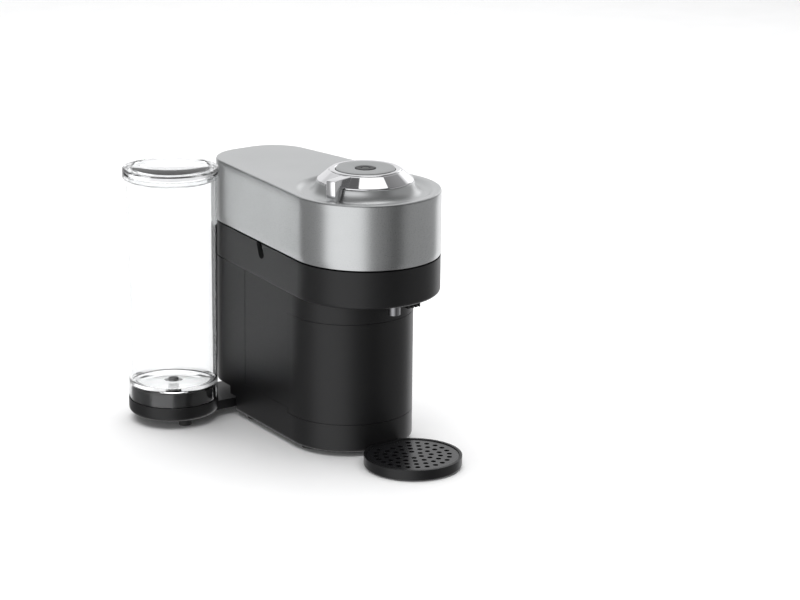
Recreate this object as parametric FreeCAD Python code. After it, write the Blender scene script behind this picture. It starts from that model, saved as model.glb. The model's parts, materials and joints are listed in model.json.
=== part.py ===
import FreeCAD, Part
import math
import os

os.makedirs("parts", exist_ok=True)
V = FreeCAD.Vector

# Driving sizes in millimetres. Origin: on the table, under the brewing axis.
# +Z is up, the front faces -Y, and +X is the machine's right-hand side.
headRadius = 68.0        # front radius of the head, seen from above
cornerRadius = 39.0      # rear corner radius of the head and column
rearHalf = 48.0          # half width at the rear corners
bodyRear = 194.6         # rear face
columnRadius = headRadius - 9.0  # front radius of the column under the head
columnY = headRadius - 43.6      # centre of that radius
topZ = 240.0             # flat top of the silver casing
seamZ = 180.0            # seam between black body and silver head
bandZ = 146.0            # underside of the black head band
neckZ = 124.0            # top of the capsule container bay
baseZ = 30.0             # top of the base
baseBottom = 4.0         # underside of the base
wall = 2.5               # moulded wall
containerY = 37.2        # rear plane of the container bay
spoutY = -44.5           # outlet of the coffee spout
bowlRadius = 50.0        # outside of the coffee collecting bowl
cupTopZ = seamZ + 4.0    # rim of the spinning capsule holder
cupRadius = 30.5         # mouth radius of the capsule holder
hingeY = bodyRear - 9.6  # head hinge pin
hingeZ = seamZ + 6.0
hingeRadius = 2.0
trayRadius = 44.0        # drip tray
trayY = -74.0
trayTop = 10.5
pivotY = bodyRear - 34.6 # pivot of the tank arm
pivotRadius = 10.0
tankX = -99.0            # centre of the tank on its arm
tankY = pivotY + 5.2
tankRadius = 42.6        # outside of the tank at its rim
tankTop = topZ - 5.6     # rim of the tank
tankFloor = 36.0
plinthRadius = tankRadius - 0.9
plinthTop = 20.7
plinthBottom = 7.4
lidRadius = tankRadius + 1.8
knobRadius = 43.9        # base of the knob's cone
knobTop = topZ + 18.5
buttonRadius = 10.0
leverAngle = 201.8       # direction of the lever at rest
leverReach = 57.0
earX = 16.0              # middle of each hinge ear
rearY = bodyRear - cornerRadius
cornerX = rearHalf - cornerRadius
headRing = [(0.0, 0.0, headRadius), (cornerX, rearY, cornerRadius),
            (-cornerX, rearY, cornerRadius)]
columnRing = [(0.0, columnY, columnRadius), (cornerX, rearY, cornerRadius),
              (-cornerX, rearY, cornerRadius)]


def prism(ring, inset, z0, z1):
    """Upright prism round a ring of circles, drawn in by an inset."""
    rounds = [(x, y, r - inset) for x, y, r in ring]
    normals = []
    for i in range(len(rounds)):
        x0, y0, r0 = rounds[i]
        x1, y1, r1 = rounds[(i + 1) % len(rounds)]
        length = math.hypot(x1 - x0, y1 - y0)
        ex = (x1 - x0) / length
        ey = (y1 - y0) / length
        along = (r0 - r1) / length
        side = math.sqrt(1.0 - along * along)
        normals.append((ex * along + ey * side, ey * along - ex * side))
    edges = []
    for i in range(len(rounds)):
        x, y, r = rounds[i]
        inn = normals[i - 1]
        out = normals[i]
        a0 = math.atan2(inn[1], inn[0])
        a1 = math.atan2(out[1], out[0])
        span = (a1 - a0) % (2 * math.pi)
        am = a0 + span / 2
        p0 = V(x + r * inn[0], y + r * inn[1], z0)
        pm = V(x + r * math.cos(am), y + r * math.sin(am), z0)
        p1 = V(x + r * out[0], y + r * out[1], z0)
        edges.append(Part.Arc(p0, pm, p1).toShape())
        nx, ny, nr = rounds[(i + 1) % len(rounds)]
        p2 = V(nx + nr * out[0], ny + nr * out[1], z0)
        edges.append(Part.makeLine(p1, p2))
    face = Part.Face(Part.Wire(edges))
    return face.extrude(V(0, 0, z1 - z0))


def rounded(shape, z, radius):
    """Round the edges that lie in one level plane."""
    chosen = []
    for edge in shape.Edges:
        box = edge.BoundBox
        if abs(box.ZMin - z) < 0.01 and abs(box.ZMax - z) < 0.01:
            chosen.append(edge)
    return shape.makeFillet(radius, chosen)


def box(x0, x1, y0, y1, z0, z1):
    return Part.makeBox(x1 - x0, y1 - y0, z1 - z0, V(x0, y0, z0))


def rod(x, y, z0, z1, r):
    return Part.makeCylinder(r, z1 - z0, V(x, y, z0))


def tube(x, y, z0, z1, r, bore):
    return rod(x, y, z0, z1, r).cut(rod(x, y, z0 - 1, z1 + 1, bore))


def crossRod(x0, x1, y, z, r):
    return Part.makeCylinder(r, x1 - x0, V(x0, y, z), V(1, 0, 0))


def lathe(x, y, points):
    """Turn a closed outline of (radius, height) points about an upright axis."""
    wire = Part.makePolygon([V(x + r, y, z) for r, z in points + points[:1]])
    return Part.Face(wire).revolve(V(x, y, 0), V(0, 0, 1), 360)


def hose(points, r, bore):
    """Round hose along straight runs with mitred corners."""
    def run(radius):
        start = V(*points[0])
        way = V(*points[1]) - start
        path = Part.makePolygon([V(*point) for point in points])
        ring = Part.Wire(Part.makeCircle(radius, start, way))
        return Part.Wire(path).makePipeShell([ring], True, False, 1)
    return run(r).cut(run(bore))


def save(shape, name):
    solids = shape.Solids
    if len(solids) == 1:
        shape = solids[0]
    shape.exportStep("parts/" + name + ".step")


# ---- base and body ----

def baseHousing():
    # Lower shell; its rear is stepped so that the tank arm can swing past.
    outer = rounded(prism(columnRing, 0.0, baseBottom, baseZ), baseBottom, 3.5)
    outer = outer.cut(box(-90, 90, pivotY - 26.5, 300, 0, 18.5))
    outer = outer.cut(box(-90, 90, pivotY - 15.5, 300, 18.4, baseZ + 1))
    hollow = prism(columnRing, wall, baseBottom + wall, baseZ + 2)
    hollow = hollow.cut(box(-90, 90, pivotY - 29.0, 300, 0, baseZ + 3))
    hollow = hollow.cut(box(-90, 90, -90, containerY + 5, baseZ - wall, baseZ + 3))
    outer = outer.cut(hollow)
    for x, y in footPlaces():
        outer = outer.cut(rod(x, y, baseBottom - 1, baseBottom + 1.5, 8.0))
    return outer


def footPlaces():
    places = [(0.0, 0.0)]
    for side in (-1, 1):
        places.append((side * 44.0, 21.0))
        places.append((side * 38.0, 118.0))
    return places


def rubberFeet():
    feet = []
    for x, y in footPlaces():
        feet.append(rod(x, y, 0.0, baseBottom + 1.5, 8.0))
    return Part.makeCompound(feet)


def bodyShell():
    # Rear column and head band in one moulding; the container bay is open.
    column = prism(columnRing, 0.0, baseZ, bandZ + 1.0)
    skin = prism(columnRing, -2.0, baseZ + 5, bandZ - 0.1)
    skin = skin.cut(prism(columnRing, 0.2, baseZ, bandZ))
    skin = skin.common(box(-90, 90, 36.7, 116.0, baseZ + 5, bandZ - 0.1))
    column = column.cut(skin)
    band = rounded(prism(headRing, 0.0, bandZ, seamZ), bandZ, 3.5)
    shell = column.fuse(band)
    hollow = prism(columnRing, wall, baseZ - 1, bandZ + 4)
    hollow = hollow.cut(box(-90, 90, -90, containerY + wall, baseZ - 2, neckZ + wall))
    shell = shell.cut(hollow)
    shell = shell.cut(prism(headRing, wall, bandZ + wall, seamZ + 1))
    shell = shell.cut(box(-90, 90, -90, containerY, baseZ - 1, neckZ))
    shell = shell.cut(rod(0, spoutY, bandZ - 1, bandZ + 4, 6.4))
    shell = shell.cut(box(-90, 90, hingeY - 9, 300, seamZ - 4.0, seamZ + 1))
    shell = shell.cut(keySlot())
    shell = shell.cut(inletHole())
    return shell.removeSplitter()


def keySlot():
    # Small slanted keyhole under the seam, through both sides.
    slot = crossRod(-90, 90, 79.0, seamZ - 7.2, 3.8)
    bar = Part.makeBox(180, 7.2, 14, V(-90, -3.6, 0))
    bar.rotate(V(0, 0, 0), V(1, 0, 0), -30)
    bar.translate(V(0, 79.0, seamZ - 7.2))
    return slot.fuse(bar)


def inletHole():
    return Part.makeCylinder(6.0, 30, V(0, bodyRear - 20, baseZ + 16), V(0, 1, 0))


def cordInlet():
    # Strain collar of the mains inlet, with an open bore.
    start = V(0, bodyRear - wall - 3, baseZ + 16)
    collar = Part.makeCylinder(6.0, 9.5, start, V(0, 1, 0))
    flange = Part.makeCylinder(8.5, 3, start, V(0, 1, 0))
    bore = Part.makeCylinder(3.6, 30, V(0, bodyRear - 20, baseZ + 16), V(0, 1, 0))
    return collar.fuse(flange).cut(bore)


def chassis():
    plate = prism(columnRing, wall + 0.5, baseZ, baseZ + 3)
    plate = plate.cut(box(-90, 90, -90, containerY + 6, 0, 90))
    plate = plate.cut(box(-90, 90, pivotY - 15.5, 300, 0, 90))
    rail = box(-12, 12, 60, 64, baseZ + 3, baseZ + 14)
    rail = rail.fuse(box(-12, 12, 106, 110, baseZ + 3, baseZ + 14))
    return plate.fuse(rail).removeSplitter()


def pivotPlate():
    # Rear floor with the hollow post that the tank arm turns on.
    plate = prism(columnRing, 0.0, baseZ - 4, baseZ)
    plate = plate.cut(box(-90, 90, -90, pivotY - 15.4, 0, 90))
    post = rod(0, pivotY, plinthBottom - 0.5, baseZ - 3, pivotRadius)
    plate = plate.fuse(post)
    return plate.cut(rod(0, pivotY, 0, baseZ + 5, 5.0))


def pivotWasher():
    return tube(0, pivotY, plinthBottom - 3.0, plinthBottom - 0.5, 14.0, 5.0)


def bodyScrews():
    screws = []
    for x, y in ((-30, 60), (30, 60), (-30, 100), (30, 100)):
        head = rod(x, y, baseBottom + wall, baseBottom + wall + 2.5, 3.2)
        screws.append(head.fuse(rod(x, y, baseBottom + wall, baseZ, 1.6)))
    return Part.makeCompound(screws)


# ---- inside the column ----

def pump():
    body = rod(0, 85, baseZ + 16, baseZ + 62, 19.0)
    body = body.fuse(rod(0, 85, baseZ + 62, baseZ + 84, 12.0))
    body = body.fuse(rod(0, 85, baseZ + 84, baseZ + 92, 4.0))
    return body.fuse(rod(0, 85, baseZ + 8, baseZ + 16, 4.0))


def pumpMounts():
    low = box(-16, 16, 66, 104, baseZ + 14, baseZ + 18)
    lug = box(-10, 10, 58, 67, baseZ + 14, baseZ + 18)
    lug = lug.fuse(box(-10, 10, 103, 112, baseZ + 14, baseZ + 18))
    return low.fuse(lug).cut(rod(0, 85, 0, 200, 19.0))


def flowMeter():
    body = rod(-26, 56, baseZ + 3, baseZ + 19, 9.0)
    return body.fuse(rod(-26, 56, baseZ + 19, baseZ + 26, 3.0))


def heater():
    block = box(-16, 16, 122, 140, baseZ + 3, baseZ + 78)
    fins = []
    for i in range(6):
        z = baseZ + 10 + 11 * i
        fins.append(box(-22, 22, 120, 142, z, z + 5))
    return block.fuse(fins).removeSplitter()


def controlBoard():
    plate = box(34, 35.6, 62, 112, baseZ + 3, baseZ + 68)
    parts = [box(24, 34, 68, 82, baseZ + 20, baseZ + 40)]
    parts.append(box(28, 34, 90, 106, baseZ + 12, baseZ + 30))
    for i in range(3):
        can = Part.makeCylinder(4, 10, V(24, 90 + 7 * i, baseZ + 52), V(1, 0, 0))
        parts.append(can)
    return plate.fuse(parts)


def waterTubes():
    low = hose([(0, pivotY, baseZ - 2), (0, pivotY, baseZ + 6),
                (-30, 150, baseZ + 6), (-30, 112, baseZ + 6), (-26, 65.1, baseZ + 6)], 2.5, 1.5)
    high = hose([(0, 85, baseZ + 92), (0, 85, baseZ + 104), (0, 131, baseZ + 104),
                 (0, 131, baseZ + 78)], 2.5, 1.5)
    return Part.makeCompound([low, high])


def brewDeck():
    # Flat deck seen when the head is open.
    deck = prism(headRing, wall + 0.1, seamZ - 6.5, seamZ - 4.0)
    deck = deck.cut(rod(0, 0, 0, 300, bowlRadius))
    for x, y in deckScrewPlaces():
        deck = deck.cut(rod(x, y, 0, 300, 1.6))
    return deck


def deckScrewPlaces():
    return [(-52, 44), (52, 44), (-40, 140), (40, 140)]


def deckScrews():
    screws = []
    for x, y in deckScrewPlaces():
        shank = rod(x, y, seamZ - 12, seamZ - 4, 1.6)
        screws.append(shank.fuse(rod(x, y, seamZ - 4, seamZ - 2.4, 3.4)))
    return Part.makeCompound(screws)


def collectorBowl():
    r = bowlRadius
    points = [(6, bandZ + 4), (r, bandZ + 4), (r, seamZ - 4), (r - 2, seamZ - 4), (r - 2, 152),
              (14, 152), (14, 156), (12, 156), (12, 152), (6, 152)]
    return lathe(0, 0, points).cut(rod(0, spoutY, 140, 160, 3.0))


def coffeeSpout():
    pipe = tube(0, spoutY, 133.0, 150.0, 5.2, 3.0)
    return pipe.fuse(tube(0, spoutY, 143.0, 145.9, 9.0, 3.0))


def spoutGuard():
    # Dark slotted piece beside the spout.
    block = box(10.5, 24.0, -51, -39, 138.0, bandZ)
    for i in range(3):
        x = 13.0 + 4.0 * i
        block = block.cut(box(x, x + 1.8, -60, -30, 136, 143))
    return block


def motorCan():
    can = tube(0, 0, neckZ + wall, 149.5, 28.0, 26.0)
    can = can.fuse(tube(0, 0, neckZ + wall, neckZ + wall + 2, 28.0, 4.5))
    return can.fuse(tube(0, 0, 147.5, 149.5, 28.0, 4.5))


def motorStator():
    ring = tube(0, 0, 132, 144, 26.0, 21.0)
    slots = []
    for i in range(9):
        slot = box(20, 24, -1.4, 1.4, 131, 145)
        slot.rotate(V(0, 0, 0), V(0, 0, 1), 40 * i)
        slots.append(slot)
    return ring.cut(slots)


def motorRotor():
    disc = rod(0, 0, 133, 143, 19.5).cut(rod(0, 0, 100, 200, 4.0))
    return disc


def driveShaft():
    return rod(0, 0, neckZ + wall + 2.6, 156, 4.0)


def capsuleHolder():
    # Spinning cup that holds the pod.
    r = cupRadius
    low = r - 6.0
    z = cupTopZ
    points = [(0, 156), (4.0, 156), (4.0, 153), (9, 153), (9, 157), (low + 2, 157),
              (r + 2, z - 2), (r + 4.5, z - 2), (r + 4.5, z), (r, z), (low, 159.5),
              (0, 159.5)]
    return lathe(0, 0, points)


def hingeBracket():
    # Two ears that stand on the deck and hold the head's pin.
    bar = box(-earX - 3, earX + 3, hingeY - 11, hingeY - 1, seamZ - 4, seamZ - 1.5)
    for side in (-1, 1):
        x0 = earX * side - 3
        ear = box(x0, x0 + 6, hingeY - 5, hingeY + 1, seamZ - 4, hingeZ)
        ear = ear.fuse(crossRod(x0, x0 + 6, hingeY, hingeZ, 4.0))
        bar = bar.fuse(ear)
    return bar.cut(crossRod(-60, 60, hingeY, hingeZ, hingeRadius))


def hingePin():
    return crossRod(-earX - 4.5, earX + 4.5, hingeY, hingeZ, hingeRadius)


# ---- container and tray ----

def capsuleContainer():
    shape = prism(columnRing, 0.0, baseZ + 0.4, neckZ - 0.4)
    shape = shape.cut(box(-90, 90, containerY - 0.4, 260, 0, 300))
    inner = prism(columnRing, 2.0, baseZ + 2.4, neckZ + 2)
    inner = inner.cut(box(-90, 90, containerY - 2.4, 260, 0, 300))
    return shape.cut(inner)


def dripTray():
    bowl = rounded(rod(0, trayY, 0.3, trayTop, trayRadius), 0.3, 2.5)
    bowl = bowl.cut(rod(0, columnY, -1, 40, columnRadius + 0.8))
    inner = rod(0, trayY, 2.3, trayTop + 1, trayRadius - 2.5)
    inner = inner.cut(rod(0, columnY, -1, 40, columnRadius + 3.3))
    return bowl.cut(inner)


def dripGrid():
    grid = rod(0, trayY, trayTop - 2.2, trayTop - 0.7, trayRadius - 2.9)
    grid = grid.cut(rod(0, columnY, -1, 40, columnRadius + 3.7))
    holes = []
    for ring in range(1, 5):
        count = 6 * ring
        for i in range(count):
            angle = 2 * math.pi * i / count
            x = 8.2 * ring * math.cos(angle)
            y = trayY + 8.2 * ring * math.sin(angle)
            if y < columnY - columnRadius - 8.0:
                holes.append(rod(x, y, 0, trayTop + 5, 2.4))
    grid = grid.cut(holes)
    legs = []
    for i in range(3):
        angle = math.radians(210 + 60 * i)
        x = 37.6 * math.cos(angle)
        y = trayY + 37.6 * math.sin(angle)
        legs.append(rod(x, y, 2.7, trayTop - 2.0, 1.8))
    return grid.fuse(legs)


# ---- tank, on its swinging arm ----

def tankArm():
    strip = prism([(0.0, pivotY, 25.0), (tankX, tankY, 25.0)][::-1], 0.0,
                  plinthBottom, 16.0)
    hub = strip.cut(rod(tankX, tankY, plinthTop, 40, plinthRadius + 0.1))
    plinth = rod(tankX, tankY, plinthBottom, plinthTop, plinthRadius)
    plinth = rounded(plinth, plinthBottom, 4.5)
    arm = hub.fuse(plinth)
    arm = arm.cut(rod(0, pivotY, 0, 40, pivotRadius + 0.06))
    groove = prism([(-17.0, pivotY + 1.1, 4.0), (tankX + 6, tankY - 0.4, 4.0)][::-1],
                   0.0, plinthBottom - 1, plinthBottom + 5.5)
    return arm.cut(groove).removeSplitter()


def armGlides():
    # Three pads that carry the full tank on the table while it swings.
    pads = []
    for i in range(3):
        angle = math.radians(20 + 120 * i)
        x = tankX + 27.0 * math.cos(angle)
        y = tankY + 27.0 * math.sin(angle)
        pads.append(rod(x, y, 0.3, plinthBottom, 6.0))
    return Part.makeCompound(pads)


def armHose():
    z = plinthBottom + 2.9
    return hose([(-17.0, pivotY + 1.1, z), (tankX + 6, tankY - 0.4, z)], 2.5, 1.5)


def tankDock():
    # Low black dock that the tank's skirt drops over.
    r = plinthRadius - 4.2
    points = [(8, plinthTop), (r, plinthTop), (r, tankFloor - 3.5),
              (r - 3, tankFloor - 0.5), (8, tankFloor - 0.5)]
    return lathe(tankX, tankY, points)


def dockProbe():
    body = rod(tankX, tankY, plinthTop, plinthTop + 8, 8.0)
    return body.cut(rod(tankX, tankY, 0, plinthTop + 5, 2.0))


def dockSeal():
    return tube(tankX, tankY, plinthTop + 8, plinthTop + 12, 8.0, 5.2)


def waterTank():
    # Clear jar with a skirt under its floor.
    low = tankRadius - 1.6
    points = [(low, plinthTop + 0.3), (tankRadius, tankTop), (tankRadius - 2.2, tankTop),
              (low - 2.0, tankFloor + 3.0), (5.0, tankFloor + 3.0), (5.0, tankFloor),
              (low - 2.0, tankFloor), (low - 2.0, plinthTop + 0.3)]
    return lathe(tankX, tankY, points)


def tankValve():
    body = rod(tankX, tankY, tankFloor - 2.0, tankFloor + 3.0, 5.0)
    return body.fuse(rod(tankX, tankY, tankFloor + 3.0, tankFloor + 5.0, 8.0))


def tankLid():
    r = lidRadius
    t = tankRadius
    z = tankTop
    points = [(0, z + 0.4), (t - 6.0, z + 0.4), (t - 6.0, z - 5), (t - 3.0, z - 5),
              (t - 3.0, z + 0.4), (t + 0.5, z + 0.4), (t + 0.5, z - 3.0), (r, z - 3.0),
              (r, z + 4.0), (r - 1.6, z + 5.6), (r - 8, z + 5.6), (r - 9, z + 6.4),
              (0, z + 6.4)]
    return lathe(tankX, tankY, points)


# ---- opening head ----

def headShell():
    shell = prism(headRing, 0.0, seamZ + 1.4, topZ - 1.2)
    shell = shell.cut(prism(headRing, wall, seamZ, topZ))
    return shell.cut(box(-90, 90, hingeY - 9, 300, seamZ, hingeZ - 2.5))


def topCover():
    # Cover with the round dish and the collar that the knob turns in.
    cover = rounded(prism(headRing, 0.2, topZ - 1.2, topZ), topZ, 0.8)
    plug = prism(headRing, wall + 0.15, topZ - 4.0, topZ - 1.1)
    cover = cover.fuse(plug).fuse(rod(0, 0, topZ - 7, topZ - 1, headRadius - 6))
    k = knobRadius + 0.1
    h = headRadius - 7.0
    cover = cover.cut(lathe(0, 0, [(0, topZ - 9), (k - 2.5, topZ - 9), (k - 2.5, topZ + 7.4),
                                   (k, topZ + 7.4), (k, topZ - 3.6),
                                   (k + 0.4, topZ - 4), (h - 3.2, topZ - 4),
                                   (h, topZ + 0.01), (h, topZ + 9),
                                   (0, topZ + 9)]))
    collar = tube(0, 0, topZ - 6, topZ + 7.4, k, k - 2.5)
    return cover.fuse(collar).removeSplitter()


def headFrame():
    # Floor of the head with the spindle housing, the button post and the barrel.
    z = cupTopZ + 4.0
    plate = prism(headRing, wall + 0.15, z, z + 3)
    inner = earX - 3.5
    plate = plate.cut(box(-90, -inner, hingeY - 9, 300, 0, 400))
    plate = plate.cut(box(inner, 90, hingeY - 9, 300, 0, 400))
    plate = plate.cut(box(-90, 90, hingeY + 3.5, 300, 0, 400))
    frame = plate.fuse(rod(0, 0, z, z + 36, 23.0))
    frame = frame.fuse(rod(0, 0, z + 36, topZ, 6.0))
    frame = frame.cut(rod(0, 0, z + 18, z + 33, 20.0))
    frame = frame.cut(rod(0, 0, z + 6, z + 14, 16.0))
    frame = frame.cut(rod(0, 0, z - 1, z + 20, 9.0))
    frame = frame.cut(box(-4, 4, 0, 30, z + 22, z + 30))
    barrel = crossRod(-inner, inner, hingeY, hingeZ, 3.6)
    barrel = barrel.fuse(box(-inner, inner, hingeY - 6, hingeY, hingeZ, z + 1))
    frame = frame.fuse(barrel)
    frame = frame.cut(crossRod(-60, 60, hingeY, hingeZ, hingeRadius + 0.06))
    return frame.removeSplitter()


def spindleBearing():
    z = cupTopZ + 10.0
    return tube(0, 0, z, z + 8, 16.0, 8.06)


def needleHead():
    # Upper clamp that spins with the cup and brings in the water.
    z = cupTopZ
    disc = lathe(0, 0, [(1.2, z + 0.4), (33, z + 0.4), (33, z + 2.4), (31, z + 3.6),
                        (8.0, z + 3.6), (8.0, z + 27), (1.2, z + 27)])
    return disc


def waterNeedle():
    return lathe(0, 0, [(0, cupTopZ - 6), (1.2, cupTopZ - 3), (1.2, cupTopZ + 27),
                        (0, cupTopZ + 27)])


def headHose():
    z = cupTopZ + 30.0
    return hose([(0, 0, z), (0, 150, z), (0, 165, z - 18)], 2.5, 1.5)


def headScrews():
    screws = []
    for x, y in ((-54, 30), (54, 30), (-42, 130), (42, 130)):
        z = cupTopZ + 4.0
        head = rod(x, y, z - 1.6, z, 3.2)
        screws.append(head)
    return Part.makeCompound(screws)


# ---- knob, lever and button ----

def knobBody():
    # Chromed cone with the lever fin and the tube down to the lock ring.
    r = knobRadius
    z = topZ + 7.8
    points = [(r, z), (r, z + 0.8), (33.0, knobTop - 2.0), (32.3, knobTop - 3.0),
              (32.3, z + 1), (r - 5.9, z), (r - 5.9, topZ - 8), (r - 3.1, topZ - 8),
              (r - 3.1, z)]
    cone = lathe(0, 0, points)
    fin = box(r + 0.6, leverReach, -4.3, 4.3, topZ - 2.6, knobTop - 0.2)
    fin = fin.fuse(box(32.3, r + 0.7, -4.3, 4.3, z + 0.2, knobTop - 0.2))
    fin = fin.cut(rod(0, 0, 0, 300, 32.8))
    fin.rotate(V(0, 0, 0), V(0, 0, 1), leverAngle)
    return cone.fuse(fin).removeSplitter()


def knobRing():
    return lathe(0, 0, [(26.6, knobTop - 5), (32.3, knobTop - 5), (32.3, knobTop - 2),
                        (31.3, knobTop - 0.8), (28.0, knobTop - 0.8),
                        (26.6, knobTop - 2)])


def knobFace():
    b = buttonRadius + 0.4
    return lathe(0, 0, [(b, knobTop - 5), (26.6, knobTop - 5), (26.6, knobTop - 0.5),
                        (26.2, knobTop), (b, knobTop - 0.4)])


def knobSpider():
    # Ribbed disc under the face that ties face, ring and tube together.
    disc = tube(0, 0, knobTop - 7, knobTop - 5, 32.3, 11.0)
    ribs = []
    for i in range(3):
        rib = box(30, knobRadius - 5.7, -2, 2, knobTop - 9, knobTop - 7)
        rib = rib.fuse(box(30, 32.3, -2, 2, knobTop - 9, knobTop - 5))
        rib.rotate(V(0, 0, 0), V(0, 0, 1), 60 + 120 * i)
        ribs.append(rib)
    shape = disc.fuse(ribs)
    return shape.cut(lathe(0, 0, [(32.3, topZ + 8.8), (knobRadius - 5.9, topZ + 7.8), (60, topZ + 7.8),
                                  (60, knobTop), (32.3, knobTop)]))


def lockRing():
    r = knobRadius
    ring = tube(0, 0, topZ - 12, topZ - 8, r + 2.1, r - 7.9)
    for i in range(3):
        lug = box(r + 1.1, r + 8.1, -6, 6, topZ - 12, topZ - 8)
        lug.rotate(V(0, 0, 0), V(0, 0, 1), 30 + 120 * i)
        ring = ring.fuse(lug)
    return ring.removeSplitter()


def brewButton():
    r = buttonRadius
    return lathe(0, 0, [(4.0, knobTop - 8), (4.0, topZ + 3), (3.0, topZ + 3),
                        (3.0, knobTop - 2), (4, knobTop - 1.2), (4, knobTop + 0.2),
                        (r - 0.8, knobTop + 0.2), (r, knobTop - 0.6),
                        (r, knobTop - 8)])


def buttonLight():
    return lathe(0, 0, [(0, knobTop - 1.2), (4, knobTop - 1.2), (4, knobTop + 0.2),
                        (0, knobTop + 0.2)])


def buttonSpring():
    z0 = topZ + 1.6
    helix = Part.makeHelix(2.2, knobTop - 8.4 - z0 - 1.0, 6.5)
    helix.translate(V(0, 0, z0 + 0.5))
    ring = Part.Wire(Part.makeCircle(0.45, V(6.5, 0, z0 + 0.5), V(0, 1, 0)))
    return Part.Wire(helix).makePipeShell([ring], True, True)


def buttonBoard():
    board = rod(0, 0, topZ, topZ + 1.6, 12.0)
    return board.fuse(box(-2, 2, -2, 2, topZ + 1.6, topZ + 1.7))


nodes = [
    ("base_housing", baseHousing), ("rubber_feet", rubberFeet),
    ("body_shell", bodyShell), ("chassis", chassis), ("pivot_plate", pivotPlate),
    ("pivot_washer", pivotWasher), ("body_screws", bodyScrews),
    ("cord_inlet", cordInlet), ("pump", pump), ("pump_mounts", pumpMounts),
    ("flow_meter", flowMeter), ("heater", heater), ("control_board", controlBoard),
    ("water_tubes", waterTubes), ("brew_deck", brewDeck), ("deck_screws", deckScrews),
    ("collector_bowl", collectorBowl), ("coffee_spout", coffeeSpout),
    ("spout_guard", spoutGuard), ("motor_can", motorCan),
    ("motor_stator", motorStator), ("hinge_bracket", hingeBracket),
    ("hinge_pin", hingePin), ("motor_rotor", motorRotor),
    ("drive_shaft", driveShaft), ("capsule_holder", capsuleHolder),
    ("capsule_container", capsuleContainer), ("drip_tray", dripTray),
    ("drip_grid", dripGrid), ("tank_arm", tankArm), ("arm_glides", armGlides), ("arm_hose", armHose),
    ("tank_dock", tankDock), ("dock_probe", dockProbe), ("dock_seal", dockSeal),
    ("water_tank", waterTank), ("tank_valve", tankValve), ("tank_lid", tankLid),
    ("head_shell", headShell), ("top_cover", topCover), ("head_frame", headFrame),
    ("spindle_bearing", spindleBearing), ("needle_head", needleHead),
    ("water_needle", waterNeedle), ("head_hose", headHose),
    ("head_screws", headScrews), ("knob_body", knobBody), ("knob_ring", knobRing),
    ("knob_face", knobFace), ("knob_spider", knobSpider), ("lock_ring", lockRing),
    ("brew_button", brewButton), ("button_light", buttonLight),
    ("button_spring", buttonSpring), ("button_board", buttonBoard)]

for name, make in nodes:
    save(make(), name)
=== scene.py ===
import json
import math

import bmesh
import bpy
import numpy as np
from mathutils import Matrix, Vector


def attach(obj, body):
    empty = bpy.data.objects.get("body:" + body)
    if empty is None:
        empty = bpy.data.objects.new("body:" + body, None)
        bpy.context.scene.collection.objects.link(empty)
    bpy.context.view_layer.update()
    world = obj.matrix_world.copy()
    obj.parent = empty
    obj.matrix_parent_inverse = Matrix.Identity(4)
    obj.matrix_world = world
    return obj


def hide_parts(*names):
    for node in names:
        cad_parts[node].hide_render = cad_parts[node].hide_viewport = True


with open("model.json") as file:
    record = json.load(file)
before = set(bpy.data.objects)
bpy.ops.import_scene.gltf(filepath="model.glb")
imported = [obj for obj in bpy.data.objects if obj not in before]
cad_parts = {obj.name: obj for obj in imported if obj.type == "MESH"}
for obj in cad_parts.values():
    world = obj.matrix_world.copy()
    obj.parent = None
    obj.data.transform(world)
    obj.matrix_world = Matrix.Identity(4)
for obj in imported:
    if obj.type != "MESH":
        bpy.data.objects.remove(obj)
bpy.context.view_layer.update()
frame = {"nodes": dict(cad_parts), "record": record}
nodes = frame["nodes"]
print("stage: frame loaded,", len(nodes), "nodes")


def newMaterial(name):
    material = bpy.data.materials.new(name)
    material.use_nodes = True
    tree = material.node_tree
    shader = tree.nodes["Principled BSDF"]
    return material, tree, shader


def addNode(tree, kind, **settings):
    node = tree.nodes.new(kind)
    for key, value in settings.items():
        if key in node.inputs:
            node.inputs[key].default_value = value
        else:
            setattr(node, key, value)
    return node


def noiseOf(tree, scale, detail, stretch=(1, 1, 1)):
    # Noise in the object's own metres, so the grain keeps its real size.
    place = addNode(tree, "ShaderNodeTexCoord")
    turn = addNode(tree, "ShaderNodeMapping")
    turn.inputs["Scale"].default_value = stretch
    tree.links.new(place.outputs["Object"], turn.inputs["Vector"])
    noise = addNode(tree, "ShaderNodeTexNoise")
    noise.inputs["Scale"].default_value = scale
    noise.inputs["Detail"].default_value = detail
    tree.links.new(turn.outputs["Vector"], noise.inputs["Vector"])
    return noise


def spread(tree, source, low, high):
    span = addNode(tree, "ShaderNodeMapRange")
    span.inputs["From Min"].default_value = 0.3
    span.inputs["From Max"].default_value = 0.7
    span.inputs["To Min"].default_value = low
    span.inputs["To Max"].default_value = high
    tree.links.new(source, span.inputs["Value"])
    return span.outputs["Result"]


def tint(tree, source, low, high):
    ramp = addNode(tree, "ShaderNodeValToRGB")
    ramp.color_ramp.elements[0].position = 0.3
    ramp.color_ramp.elements[1].position = 0.7
    ramp.color_ramp.elements[0].color = (*low, 1)
    ramp.color_ramp.elements[1].color = (*high, 1)
    tree.links.new(source, ramp.inputs["Fac"])
    return ramp.outputs["Color"]


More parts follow.
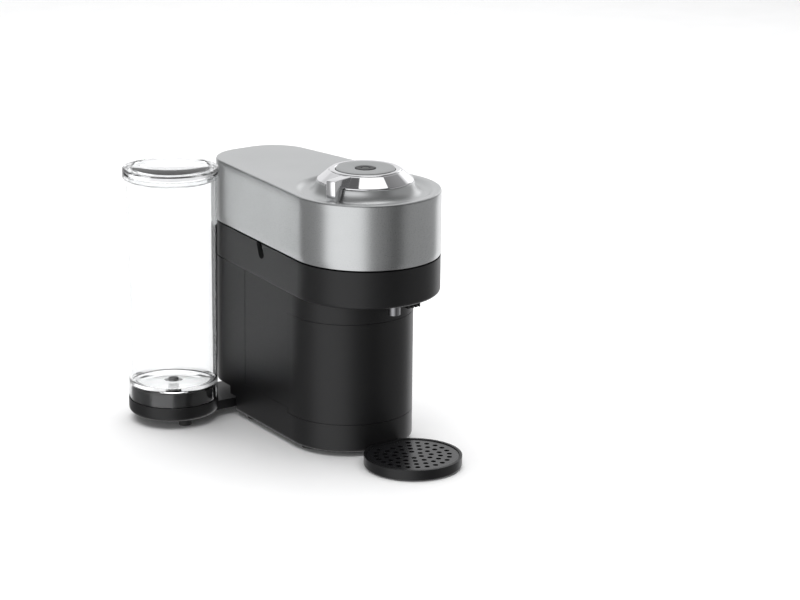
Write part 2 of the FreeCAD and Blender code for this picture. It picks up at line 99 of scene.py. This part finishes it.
def surface(name, low, high, rough, metal=0.0, grain=900.0, bump=0.03, depth=0.00004,
            stretch=(1, 1, 1), coat=0.0, specular=0.5, cloud=14.0):
    # A finish: slow colour drift, fine grain in roughness, and a shallow bump.
    material, tree, shader = newMaterial(name)
    drift = noiseOf(tree, cloud, 3.0)
    fine = noiseOf(tree, grain, 4.0, stretch)
    tree.links.new(tint(tree, drift.outputs["Fac"], low, high), shader.inputs["Base Color"])
    tree.links.new(spread(tree, fine.outputs["Fac"], rough[0], rough[1]),
                   shader.inputs["Roughness"])
    relief = addNode(tree, "ShaderNodeBump")
    relief.inputs["Strength"].default_value = bump
    relief.inputs["Distance"].default_value = depth
    tree.links.new(fine.outputs["Fac"], relief.inputs["Height"])
    tree.links.new(relief.outputs["Normal"], shader.inputs["Normal"])
    shader.inputs["Metallic"].default_value = metal
    shader.inputs["Specular IOR Level"].default_value = specular
    shader.inputs["Coat Weight"].default_value = coat
    return material


finishes = {
    "blackBody": dict(low=(0.0065, 0.0065, 0.007), high=(0.0085, 0.0085, 0.009),
                      rough=(0.36, 0.46), grain=1500.0, bump=0.25, depth=0.00003,
                      specular=0.36),
    "paleDisc": dict(low=(0.80, 0.80, 0.80), high=(0.84, 0.84, 0.84), rough=(0.3, 0.4),
                     grain=600.0, bump=0.05),
    "deepShade": dict(low=(0.002, 0.002, 0.002), high=(0.003, 0.003, 0.003),
                      rough=(0.8, 0.9), grain=600.0, bump=0.05, specular=0.1),
    "blackGloss": dict(low=(0.008, 0.008, 0.009), high=(0.012, 0.012, 0.013),
                       rough=(0.20, 0.28), grain=400.0, bump=0.05),
    "silverBand": dict(low=(0.46, 0.47, 0.47), high=(0.50, 0.51, 0.51),
                       rough=(0.26, 0.32), metal=0.95, grain=2200.0, bump=0.12,
                       depth=0.00002),
    "silverCover": dict(low=(0.54, 0.55, 0.55), high=(0.58, 0.59, 0.59),
                        rough=(0.30, 0.37), metal=0.92, grain=2600.0, bump=0.2,
                        depth=0.00002),
    "chrome": dict(low=(0.80, 0.80, 0.81), high=(0.84, 0.84, 0.85), rough=(0.03, 0.07),
                   metal=1.0, grain=120.0, bump=0.01),
    "steel": dict(low=(0.50, 0.50, 0.50), high=(0.60, 0.60, 0.59), rough=(0.22, 0.36),
                  metal=1.0, grain=700.0, bump=0.08, stretch=(1, 1, 0.05)),
    "nozzle": dict(low=(0.24, 0.24, 0.25), high=(0.30, 0.30, 0.31), rough=(0.28, 0.36),
                   metal=1.0, grain=500.0, bump=0.05),
    "rubber": dict(low=(0.014, 0.014, 0.014), high=(0.022, 0.022, 0.021),
                   rough=(0.68, 0.82), grain=1100.0, bump=0.4),
    "greyPlastic": dict(low=(0.28, 0.285, 0.29), high=(0.32, 0.325, 0.33),
                        rough=(0.42, 0.55), grain=1200.0, bump=0.25),
    "copper": dict(low=(0.45, 0.20, 0.09), high=(0.62, 0.30, 0.14), rough=(0.22, 0.4),
                   metal=1.0, grain=900.0, bump=0.5, stretch=(1, 1, 6)),
    "board": dict(low=(0.010, 0.10, 0.035), high=(0.016, 0.14, 0.05),
                  rough=(0.25, 0.4), grain=500.0, bump=0.2),
}
made = {name: surface(name, **settings) for name, settings in finishes.items()}


def brushedDisc():
    # Fine circular brushing round the knob's axis.
    material, tree, shader = newMaterial("brushedDisc")
    place = addNode(tree, "ShaderNodeTexCoord")
    flat = addNode(tree, "ShaderNodeVectorMath", operation="MULTIPLY")
    flat.inputs[1].default_value = (1, 1, 0)
    tree.links.new(place.outputs["Object"], flat.inputs[0])
    radius = addNode(tree, "ShaderNodeVectorMath", operation="LENGTH")
    tree.links.new(flat.outputs["Vector"], radius.inputs[0])
    grain = addNode(tree, "ShaderNodeTexNoise", noise_dimensions="1D")
    grain.inputs["Scale"].default_value = 2600.0
    grain.inputs["Detail"].default_value = 5.0
    tree.links.new(radius.outputs["Value"], grain.inputs["W"])
    tree.links.new(tint(tree, grain.outputs["Fac"], (0.40, 0.41, 0.41), (0.50, 0.51, 0.51)),
                   shader.inputs["Base Color"])
    tree.links.new(spread(tree, grain.outputs["Fac"], 0.30, 0.46), shader.inputs["Roughness"])
    relief = addNode(tree, "ShaderNodeBump")
    relief.inputs["Strength"].default_value = 0.15
    relief.inputs["Distance"].default_value = 0.00003
    tree.links.new(grain.outputs["Fac"], relief.inputs["Height"])
    tree.links.new(relief.outputs["Normal"], shader.inputs["Normal"])
    shader.inputs["Metallic"].default_value = 1.0
    return material


def clearPlastic(name, colour, rough):
    # Clear moulded plastic with faint waviness.
    material, tree, shader = newMaterial(name)
    wave = noiseOf(tree, 30.0, 2.0)
    paler = tuple(min(1, c + 0.01) for c in colour)
    tree.links.new(tint(tree, wave.outputs["Fac"], colour, paler),
                   shader.inputs["Base Color"])
    tree.links.new(spread(tree, wave.outputs["Fac"], rough, rough + 0.02),
                   shader.inputs["Roughness"])
    relief = addNode(tree, "ShaderNodeBump")
    relief.inputs["Strength"].default_value = 0.04
    relief.inputs["Distance"].default_value = 0.0002
    tree.links.new(wave.outputs["Fac"], relief.inputs["Height"])
    tree.links.new(relief.outputs["Normal"], shader.inputs["Normal"])
    shader.inputs["Transmission Weight"].default_value = 1.0
    shader.inputs["IOR"].default_value = 1.45
    return material


def glowLens():
    material, tree, shader = newMaterial("glowLens")
    wave = noiseOf(tree, 500.0, 2.0)
    tree.links.new(tint(tree, wave.outputs["Fac"], (0.045, 0.047, 0.045), (0.06, 0.062, 0.06)),
                   shader.inputs["Base Color"])
    tree.links.new(spread(tree, wave.outputs["Fac"], 0.40, 0.50), shader.inputs["Roughness"])
    return material


made["brushedDisc"] = brushedDisc()
made["clearTank"] = clearPlastic("clearTank", (0.955, 0.96, 0.963), 0.0)
made["silicone"] = surface("silicone", (0.62, 0.62, 0.60), (0.70, 0.70, 0.68), (0.4, 0.5),
                           grain=300.0, bump=0.1)
made["glowLens"] = glowLens()
# Little light reaches the dock through the clear tank, so its disc is slightly self-lit.
paleShader = made["paleDisc"].node_tree.nodes["Principled BSDF"]
paleShader.inputs["Emission Color"].default_value = (1, 1, 1, 1)
paleShader.inputs["Emission Strength"].default_value = 0.8

slotFinish = {
    "black_body": "blackBody", "black_gloss": "blackGloss", "silver_band": "silverBand",
    "silver_cover": "silverCover", "chrome": "chrome", "brushed_disc": "brushedDisc",
    "steel": "steel", "clear_tank": "clearTank", "rubber": "rubber",
    "silicone": "silicone", "grey_plastic": "greyPlastic", "copper": "copper",
    "board": "board", "light": "glowLens"}

for entry in frame["record"]["subparts"]:
    given = nodes[entry["node"]].data.materials
    finish = made[slotFinish[entry["material_slot"]]]
    if not given:
        given.append(finish)
    for index in range(len(given)):
        given[index] = finish
nodes["coffee_spout"].data.materials[0] = made["nozzle"]
print("stage: finishes made and given to the frame")


def addPiece(name, points, faces, finish, body, stands=(), sharp=32.0, bevel=0.0):
    # A mesh piece in metres, smoothed by angle, that rides on a body.
    mesh = bpy.data.meshes.new(name)
    mesh.from_pydata([tuple(p) for p in points], [], faces)
    shape = bmesh.new()
    shape.from_mesh(mesh)
    bmesh.ops.remove_doubles(shape, verts=shape.verts, dist=1e-7)
    bmesh.ops.recalc_face_normals(shape, faces=shape.faces)
    limit = math.radians(sharp)
    for face in shape.faces:
        face.smooth = True
    for edge in shape.edges:
        if len(edge.link_faces) == 2 and edge.calc_face_angle(0) > limit:
            edge.smooth = False
    shape.to_mesh(mesh)
    shape.free()
    mesh.materials.append(made[finish])
    piece = bpy.data.objects.new(name, mesh)
    bpy.context.scene.collection.objects.link(piece)
    if bevel:
        edge = piece.modifiers.new("edge", "BEVEL")
        edge.width = bevel
        edge.segments = 3
        edge.limit_method = "ANGLE"
        edge.angle_limit = math.radians(40)
        edge.harden_normals = True
    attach(piece, body)
    for node in stands:
        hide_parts(node)
    return piece


def loftRings(rings, closed):
    # Join rings of equal length; closed joins the last ring to the first.
    count = len(rings[0])
    points = [p for ring in rings for p in ring]
    faces = []
    spans = len(rings) if closed else len(rings) - 1
    for i in range(spans):
        a = i * count
        b = ((i + 1) % len(rings)) * count
        for j in range(count):
            k = (j + 1) % count
            faces.append((a + j, a + k, b + k, b + j))
    if not closed:
        faces.append(tuple(range(count))[::-1])
        last = (len(rings) - 1) * count
        faces.append(tuple(last + j for j in range(count)))
    return points, faces


def turned(profile, centre=(0, 0), count=192, closed=True):
    # Rings of (radius, height) in millimetres about an upright axis, in metres.
    rings = []
    for radius, height in profile:
        ring = []
        for j in range(count):
            angle = 2 * math.pi * j / count
            ring.append(((centre[0] + radius * math.cos(angle)) / 1000,
                         (centre[1] + radius * math.sin(angle)) / 1000, height / 1000))
        rings.append(ring)
    return loftRings(rings, closed)


def hullRadius(circles, inset, angles):
    # Distance from the axis to the smooth outline round a ring of circles.
    reach = np.zeros(len(angles))
    normals = np.linspace(-math.pi, math.pi, 7201)
    best = np.argmax([x * np.cos(normals) + y * np.sin(normals) + r - inset
                      for x, y, r in circles], axis=0)
    px = np.array([circles[i][0] + (circles[i][2] - inset) * math.cos(n)
                   for i, n in zip(best, normals)])
    py = np.array([circles[i][1] + (circles[i][2] - inset) * math.sin(n)
                   for i, n in zip(best, normals)])
    found = np.unwrap(np.arctan2(py, px))
    order = np.argsort(found)
    found, px, py = found[order], px[order], py[order]
    for i, angle in enumerate(angles):
        a = (angle - found[0]) % (2 * math.pi) + found[0]
        k = min(max(int(np.searchsorted(found, a)), 1), len(found) - 1)
        x0, y0, x1, y1 = px[k - 1], py[k - 1], px[k], py[k]
        dx, dy = math.cos(a), math.sin(a)
        cross = dx * (y1 - y0) - dy * (x1 - x0)
        if abs(cross) < 1e-9:
            reach[i] = math.hypot(x0, y0)
        else:
            reach[i] = (x0 * (y1 - y0) - y0 * (x1 - x0)) / cross
    return reach


head = {"frontRadius": 68.0, "cornerRadius": 39.0, "rearHalf": 48.0, "rear": 194.6,
        "bottom": 181.4, "top": 240.0, "wall": 2.5, "hingeRelief": 183.5,
        "reliefFrom": 176.0, "plugRadius": 62.0,
        "dish": [(63.0, 240.0), (61.8, 239.8), (60.6, 239.3), (59.4, 238.5),
                 (58.0, 237.5), (56.4, 236.6), (54.6, 236.15), (52.6, 236.1),
                 (50.6, 236.4), (49.0, 237.2), (47.5, 238.4), (46.2, 240.1),
                 (45.1, 242.1), (44.3, 244.3), (43.7, 246.3), (43.3, 247.2),
                 (42.8, 247.5),
                 (42.0, 247.4), (41.6, 246.8), (41.5, 233.0)]}
cornerX = head["rearHalf"] - head["cornerRadius"]
cornerY = head["rear"] - head["cornerRadius"]
headCircles = [(0.0, 0.0, head["frontRadius"]), (cornerX, cornerY, head["cornerRadius"]),
               (-cornerX, cornerY, head["cornerRadius"])]
sweep = [2 * math.pi * j / 480 for j in range(480)]


def headLoop(inset, height, relief=False):
    loop = []
    for angle, reach in zip(sweep, hullRadius(headCircles, inset, sweep)):
        x = reach * math.cos(angle)
        y = reach * math.sin(angle)
        z = height
        if relief and y > head["reliefFrom"]:
            z = height - head["bottom"] + head["hingeRelief"]
        loop.append((x / 1000, y / 1000, z / 1000))
    return loop


def buildCasing():
    low = head["bottom"]
    top = head["top"] - 1.25
    wall = head["wall"]
    loops = [headLoop(0.5, low, True), headLoop(0.15, low + 0.15, True),
             headLoop(0.0, low + 0.5, True), headLoop(0.0, low + 8),
             headLoop(0.0, top - 8), headLoop(0.0, top - 0.45),
             headLoop(0.12, top - 0.12), headLoop(0.4, top), headLoop(wall, top),
             headLoop(wall, low + 8), headLoop(wall, low, True)]
    points, faces = loftRings(loops, True)
    return addPiece("headCasing", points, faces, "silverBand", "head", ["head_shell"])


def buildCover():
    top = head["top"]
    loops = [headLoop(0.35, top - 1.0), headLoop(0.30, top - 0.75),
             headLoop(0.55, top - 0.35), headLoop(1.0, top - 0.1), headLoop(1.7, top),
             headLoop(3.5, top)]
    for radius, height in head["dish"]:
        loops.append([(radius * math.cos(a) / 1000, radius * math.sin(a) / 1000,
                       height / 1000) for a in sweep])
    for height in (top - 7.0, top - 4.0):
        loops.append([(head["plugRadius"] * math.cos(a) / 1000,
                       head["plugRadius"] * math.sin(a) / 1000, height / 1000)
                      for a in sweep])
    loops.append(headLoop(2.7, top - 4.0))
    loops.append(headLoop(2.7, top - 1.0))
    points, faces = loftRings(loops, True)
    return addPiece("topCover", points, faces, "silverCover", "head", ["top_cover"],
                    sharp=38.0)


buildCasing()
buildCover()
print("stage: silver head made")

knob = {"cone": [(42.9, 247.8), (42.9, 248.2), (42.75, 248.55), (42.5, 248.8),
                 (42.2, 249.04), (33.9, 256.0), (33.4, 256.38), (33.0, 256.7),
                 (32.6, 256.85), (32.35, 256.4), (32.35, 249.0), (37.5, 248.2),
                 (37.9, 232.0), (40.8, 232.0), (40.8, 247.8)],
        "ring": [(32.25, 253.5), (32.25, 256.7), (31.9, 257.4), (31.0, 257.9),
                 (29.6, 258.1), (28.2, 257.9), (27.2, 257.4), (26.75, 256.8),
                 (26.7, 253.5)],
        "face": [(9.5, 253.5), (26.55, 253.5), (26.55, 257.6), (26.2, 258.1),
                 (25.4, 258.3), (22.0, 258.35), (12.0, 258.15), (10.2, 258.0),
                 (9.6, 257.7), (9.5, 257.2)],
        "leverAngle": 201.8, "leverHalf": 4.9, "leverRoot": 5.9,
        "lever": [(33.2, 256.9), (45.0, 257.3), (56.0, 257.3), (57.2, 256.9),
                  (57.6, 255.8), (57.6, 239.0), (57.2, 238.1), (56.2, 237.7),
                  (53.0, 237.7), (51.4, 238.2), (50.2, 239.2), (48.8, 241.2),
                  (47.6, 243.6), (46.6, 246.0), (45.4, 248.2), (43.0, 248.9),
                  (40.0, 249.6), (33.2, 250.0)]}


def buildLever():
    # Blade with a curved underside, a little wider at its root.
    outline = knob["lever"]
    turn = math.radians(knob["leverAngle"])
    rings = []
    for share in (-1, -0.93, -0.75, 0, 0.75, 0.93, 1):
        ring = []
        centre = (46.0, 250.0)
        shrink = 1.0 if abs(share) < 0.8 else (0.985 if abs(share) < 0.95 else 0.94)
        for radius, height in outline:
            blend = max(0.0, min(1.0, (50.0 - radius) / 16.0))
            half = knob["leverHalf"] + (knob["leverRoot"] - knob["leverHalf"]) * blend ** 2
            r = centre[0] + (radius - centre[0]) * shrink if radius > 40 else radius
            z = centre[1] + (height - centre[1]) * (shrink if radius > 36 else 1.0)
            side = half * share
            x = r * math.cos(turn) - side * math.sin(turn)
            y = r * math.sin(turn) + side * math.cos(turn)
            ring.append((x / 1000, y / 1000, z / 1000))
        rings.append(ring)
    points, faces = loftRings(rings, False)
    return addPiece("leverBlade", points, faces, "chrome", "knob",
                    sharp=30.0, bevel=0.0003)


def buildButton():
    # The underside is hollow, so that the pressed button clears its spring.
    profile = [(0.02, 253.0), (7.9, 253.0), (8.0, 250.5), (8.95, 250.5), (9.0, 257.4),
               (8.8, 257.9), (8.2, 258.2), (7.0, 258.1), (4.5, 257.9), (4.1, 257.6),
               (3.9, 257.3), (0.02, 257.3)]
    points, faces = turned(profile, count=96)
    addPiece("brewButton", points, faces, "blackBody", "button", ["brew_button"])
    lens = [(0.02, 257.35), (3.8, 257.35), (3.8, 257.6), (3.3, 257.85), (2.0, 258.0),
            (0.02, 258.05)]
    points, faces = turned(lens, count=64)
    addPiece("buttonLens", points, faces, "glowLens", "button", ["button_light"])


points, faces = turned(knob["cone"])
addPiece("knobCone", points, faces, "chrome", "knob", ["knob_body"], sharp=25.0)
points, faces = turned(knob["ring"])
addPiece("knobRing", points, faces, "chrome", "knob", ["knob_ring"], sharp=40.0)
points, faces = turned(knob["face"])
addPiece("knobFace", points, faces, "brushedDisc", "knob", ["knob_face"])
buildLever()
buildButton()
print("stage: knob and button made")

tank = {"centre": (-99.0, 165.2),
        "jar": [(41.05, 21.0), (41.2, 21.3), (42.55, 231.4), (42.6, 234.0), (42.3, 234.4),
                (40.7, 234.4), (40.4, 234.0), (39.35, 43.0), (38.6, 40.2), (36.8, 39.1),
                (5.2, 39.0), (5.0, 38.8), (5.0, 36.2), (5.2, 36.0), (38.0, 36.0),
                (38.9, 35.4), (39.1, 21.3), (39.2, 21.0)],
        "lid": [(0.02, 234.9), (36.6, 234.9), (36.6, 229.8), (37.0, 229.4), (39.2, 229.4),
                (39.6, 229.8), (39.6, 234.9), (43.1, 234.9), (43.1, 231.7), (43.4, 231.4),
                (44.1, 231.4), (44.4, 231.7), (44.4, 238.6), (44.1, 239.5),
                (43.3, 240.0), (42.2, 240.2), (37.4, 240.2), (36.8, 240.0),
                (36.3, 239.4), (35.7, 239.2), (35.1, 239.4), (34.6, 240.4),
                (34.0, 240.6), (0.02, 240.6)],
        "dock": [(8.0, 20.7), (37.3, 20.7), (37.5, 21.0), (37.5, 32.2), (37.1, 33.4),
                 (35.4, 35.1), (34.6, 35.5), (9.0, 35.5), (8.2, 35.3), (8.0, 34.8)]}


def buildTank():
    points, faces = turned(tank["jar"], tank["centre"])
    addPiece("tankJar", points, faces, "clearTank", "tank", ["water_tank"])
    points, faces = turned(tank["lid"], tank["centre"])
    addPiece("tankLid", points, faces, "clearTank", "lid", ["tank_lid"])
    points, faces = turned(tank["dock"], tank["centre"])
    addPiece("tankDock", points, faces, "blackBody", "arm", ["tank_dock"])


def buildDockDisc():
    # Pale disc on the dock, seen through the tank's clear floor.
    disc = [(8.6, 35.45), (34.2, 35.45), (34.3, 35.6), (34.2, 35.85), (8.6, 35.85)]
    points, faces = turned(disc, tank["centre"])
    addPiece("dockDisc", points, faces, "paleDisc", "arm")
    valve = [(0.02, 34.2), (4.7, 34.2), (4.8, 39.6), (4.5, 40.0), (3.4, 40.1), (3.0, 39.7),
             (0.02, 39.7)]
    points, faces = turned(valve, tank["centre"], 64)
    addPiece("floorValve", points, faces, "blackBody", "tank", ["tank_valve"])


keyhole = {"along": 70.8, "low": 171.4, "high": 178.6, "lean": 5.5, "hole": 5.4,
           "slot": 3.4, "proud": 0.1, "deep": 1.2}


def buildKeyholeShade(side):
    # Painted shade: a dark plug fills the slanted keyhole under the seam, a little proud of
    # it, in place of the shade inside the hole.
    front = head["frontRadius"]
    rise = (front - head["cornerRadius"]) / math.hypot(cornerX, cornerY)
    tilt = math.asin(rise) - math.atan2(cornerX, cornerY)
    rings = []
    for reach in (front - keyhole["deep"], front + keyhole["proud"]):
        ring = []
        for j in range(64):
            angle = 2 * math.pi * j / 64
            upper = j <= 32
            radius = keyhole["slot"] if upper else keyhole["hole"]
            along = keyhole["along"] + radius * math.cos(angle)
            height = radius * math.sin(angle) + keyhole["high" if upper else "low"]
            if upper:
                along += keyhole["lean"]
            height = min(height, 179.8)
            x = reach * math.cos(tilt) - along * math.sin(tilt)
            y = reach * math.sin(tilt) + along * math.cos(tilt)
            ring.append((side * x / 1000, y / 1000, height / 1000))
        rings.append(ring)
    points, faces = loftRings(rings, False)
    # These plugs are painted shade for the inside of the keyhole.
    addPiece("keyholeShadeLeft" if side < 0 else "keyholeShadeRight", points, faces, "deepShade",
             "base")


buildTank()
buildDockDisc()
buildKeyholeShade(-1)
buildKeyholeShade(1)
print("stage: tank and keyhole made")


def buildFloor():
    points = [(-6, -6, 0), (6, -6, 0), (6, 6, 0), (-6, 6, 0)]
    mesh = bpy.data.meshes.new("floor")
    mesh.from_pydata(points, [], [(0, 1, 2, 3)])
    mesh.materials.append(surface("floorPaper", (0.90, 0.90, 0.90), (0.92, 0.92, 0.92),
                                  (0.8, 0.9), grain=60.0, bump=0.01, specular=0.1))
    floor = bpy.data.objects.new("floor", mesh)
    bpy.context.scene.collection.objects.link(floor)
    floor.visible_glossy = False


def buildWorld():
    # Brightness round the horizon, like a studio with boxes and flags.
    world = bpy.data.worlds.new("studio")
    bpy.context.scene.world = world
    world.use_nodes = True
    tree = world.node_tree
    back = tree.nodes["Background"]
    place = tree.nodes.new("ShaderNodeTexCoord")
    split = tree.nodes.new("ShaderNodeSeparateXYZ")
    tree.links.new(place.outputs["Generated"], split.inputs[0])
    turn = tree.nodes.new("ShaderNodeMath")
    turn.operation = "ARCTAN2"
    tree.links.new(split.outputs["Y"], turn.inputs[0])
    tree.links.new(split.outputs["X"], turn.inputs[1])
    span = tree.nodes.new("ShaderNodeMapRange")
    span.inputs["From Min"].default_value = -math.pi
    span.inputs["From Max"].default_value = math.pi
    tree.links.new(turn.outputs[0], span.inputs["Value"])

    def ringOf(stops):
        ramp = tree.nodes.new("ShaderNodeValToRGB")
        band = ramp.color_ramp
        while len(band.elements) < len(stops):
            band.elements.new(0.5)
        for element, (angle, level) in zip(band.elements, stops):
            element.position = (angle + 180) / 360
            element.color = (level, level, level * 1.01, 1)
        tree.links.new(span.outputs["Result"], ramp.inputs["Fac"])
        return ramp.outputs["Color"]

    lowRing = ringOf([(-180, 1.6), (-131, 1.6), (-117, 0.38), (-92, 0.28), (-86, 0.11),
                      (-72, 0.11), (-62, 0.46), (6, 0.50), (14, 1.6), (34, 1.6),
                      (42, 1.0), (84, 1.0), (99, 0.36), (112, 0.30), (130, 0.36),
                      (166, 0.40), (176, 1.6)])
    highRing = ringOf([(-180, 0.30), (-120, 0.20), (-60, 0.16), (-30, 0.16), (20, 0.42),
                       (60, 0.95), (118, 0.80), (128, 0.14), (160, 0.14), (176, 0.30)])
    high = tree.nodes.new("ShaderNodeMapRange")
    high.inputs["From Min"].default_value = 0.40
    high.inputs["From Max"].default_value = 0.56
    tree.links.new(split.outputs["Z"], high.inputs["Value"])
    mix = tree.nodes.new("ShaderNodeMix")
    mix.data_type = "RGBA"
    tree.links.new(high.outputs["Result"], mix.inputs["Factor"])
    tree.links.new(lowRing, mix.inputs[6])
    tree.links.new(highRing, mix.inputs[7])
    aim = tree.nodes.new("ShaderNodeVectorMath")  # soft box nearly overhead
    aim.operation = "DOT_PRODUCT"
    tree.links.new(place.outputs["Generated"], aim.inputs[0])
    aim.inputs[1].default_value = (0.157, -0.073, 0.985)
    edge = tree.nodes.new("ShaderNodeMapRange")
    edge.inputs["From Min"].default_value = 0.948
    edge.inputs["From Max"].default_value = 0.953
    tree.links.new(aim.outputs["Value"], edge.inputs["Value"])
    top = tree.nodes.new("ShaderNodeMix")
    top.data_type = "RGBA"
    tree.links.new(edge.outputs["Result"], top.inputs["Factor"])
    tree.links.new(mix.outputs[2], top.inputs[6])
    top.inputs[7].default_value = (1.5, 1.5, 1.5, 1)
    tree.links.new(top.outputs[2], back.inputs["Color"])
    back.inputs["Strength"].default_value = 0.9


def addLamp(name, place, aim, size, power):
    lamp = bpy.data.lights.new(name, "AREA")
    lamp.energy = power
    lamp.shape = "RECTANGLE"
    lamp.size = size[0]
    lamp.size_y = size[1]
    holder = bpy.data.objects.new(name, lamp)
    holder.location = place
    holder.rotation_euler = (Vector(aim) - Vector(place)).to_track_quat("-Z", "Y").to_euler()
    holder.visible_glossy = False
    bpy.context.scene.collection.objects.link(holder)


def buildCamera():
    view = {"place": (-1.3625, -1.8288, 0.7962), "azimuth": -37.49, "down": 16.14,
            "roll": 0.653, "lens": 118.77}
    az = math.radians(view["azimuth"])
    el = math.radians(view["down"])
    roll = math.radians(view["roll"])
    right = Vector((math.cos(az), math.sin(az), 0))
    back = Vector((math.sin(az) * math.cos(el), -math.cos(az) * math.cos(el), math.sin(el)))
    up = back.cross(right)
    side = right * math.cos(roll) + up * math.sin(roll)
    top = up * math.cos(roll) - right * math.sin(roll)
    camera = bpy.data.cameras.new("camera")
    camera.lens = view["lens"]
    camera.sensor_width = 36.0
    holder = bpy.data.objects.new("camera", camera)
    turn = Matrix((side, top, back)).transposed()
    holder.matrix_world = Matrix.Translation(Vector(view["place"])) @ turn.to_4x4()
    bpy.context.scene.collection.objects.link(holder)
    bpy.context.scene.camera = holder


bpy.context.scene.view_settings.view_transform = "Standard"
buildFloor()
buildWorld()
addLamp("overhead", (0.2, 0.5, 2.2), (0.2, 0.5, 0.0), (3.4, 3.4), 78.0)
buildCamera()
print("stage: camera and light set")
